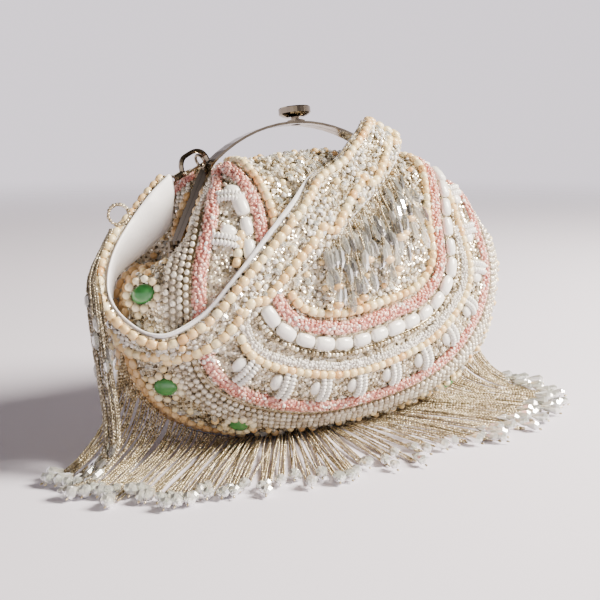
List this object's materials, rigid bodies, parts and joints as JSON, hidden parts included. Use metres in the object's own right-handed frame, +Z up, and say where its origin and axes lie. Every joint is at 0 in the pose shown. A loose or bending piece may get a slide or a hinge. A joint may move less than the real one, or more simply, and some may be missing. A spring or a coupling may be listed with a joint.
{
  "type": "batua bag",
  "caption": "Soft beaded evening pouch on an arched metal kiss-lock frame, with a padded strap laid across its front and a long bead fringe along its lower seam.",
  "frame": {"origin": "middle of the flat patch of the back panel that the bag rests on", "axes": "+X along the bag's width, to the right as seen from its front, -Y towards the bag's front, +Z up"},
  "size_m": [0.3376, 0.1635, 0.1778],
  "materials": {
    "beaded_cloth": "silk cloth covered in seed beads, pearls and cream beads",
    "satin": "white satin lining",
    "nickel": "polished nickel",
    "seed_strands": "silver-lined glass seed beads on thread, with clear drops at the ends",
    "white_glass": "opaque white glass",
    "green_stone": "polished green cat's-eye cabochon"
  },
  "bodies": {
    "bag": {"front_panel": "beaded_cloth", "back_panel": "beaded_cloth", "fringe_skirt": "seed_strands", "frame_front": "nickel", "frame_back": "nickel", "hinge_rivet_left": "nickel", "hinge_rivet_right": "nickel", "clasp_left": "nickel", "clasp_right": "nickel", "strap_band": "beaded_cloth", "strap_lining": "satin", "bead_loop": "seed_strands", "strap_tassel_left": "seed_strands", "strap_fringe_front": "seed_strands", "oval_row_front": "white_glass", "oval_row_back": "white_glass", "cabochon_front_1": "green_stone", "cabochon_front_2": "green_stone", "cabochon_front_3": "green_stone", "cabochon_front_4": "green_stone", "cabochon_front_5": "green_stone", "cabochon_front_6": "green_stone", "cabochon_back_1": "green_stone", "cabochon_back_2": "green_stone", "cabochon_back_3": "green_stone", "cabochon_back_4": "green_stone", "cabochon_back_5": "green_stone", "cabochon_back_6": "green_stone"},
    "knob": {"lock_knob": "nickel"},
    "lever": {"clasp_lever_left": "nickel"}
  },
  "joints": [
    {"name": "knob_press", "type": "slide", "parent": "bag", "child": "knob", "axis": [0, -0.1736, -0.9848], "range_m": [0, 0.0012], "stiffness_N_per_m": 300, "springref_m": -0.002},
    {"name": "clasp_gate", "type": "hinge", "parent": "bag", "child": "lever", "pos_m": [-0.07346, 0.01145, 0.14116], "axis": [0.0175, -0.9826, 0.1849], "range_deg": [0, 14], "stiffness_Nm_per_rad": 0.02, "springref_deg": -11.46}
  ]
}
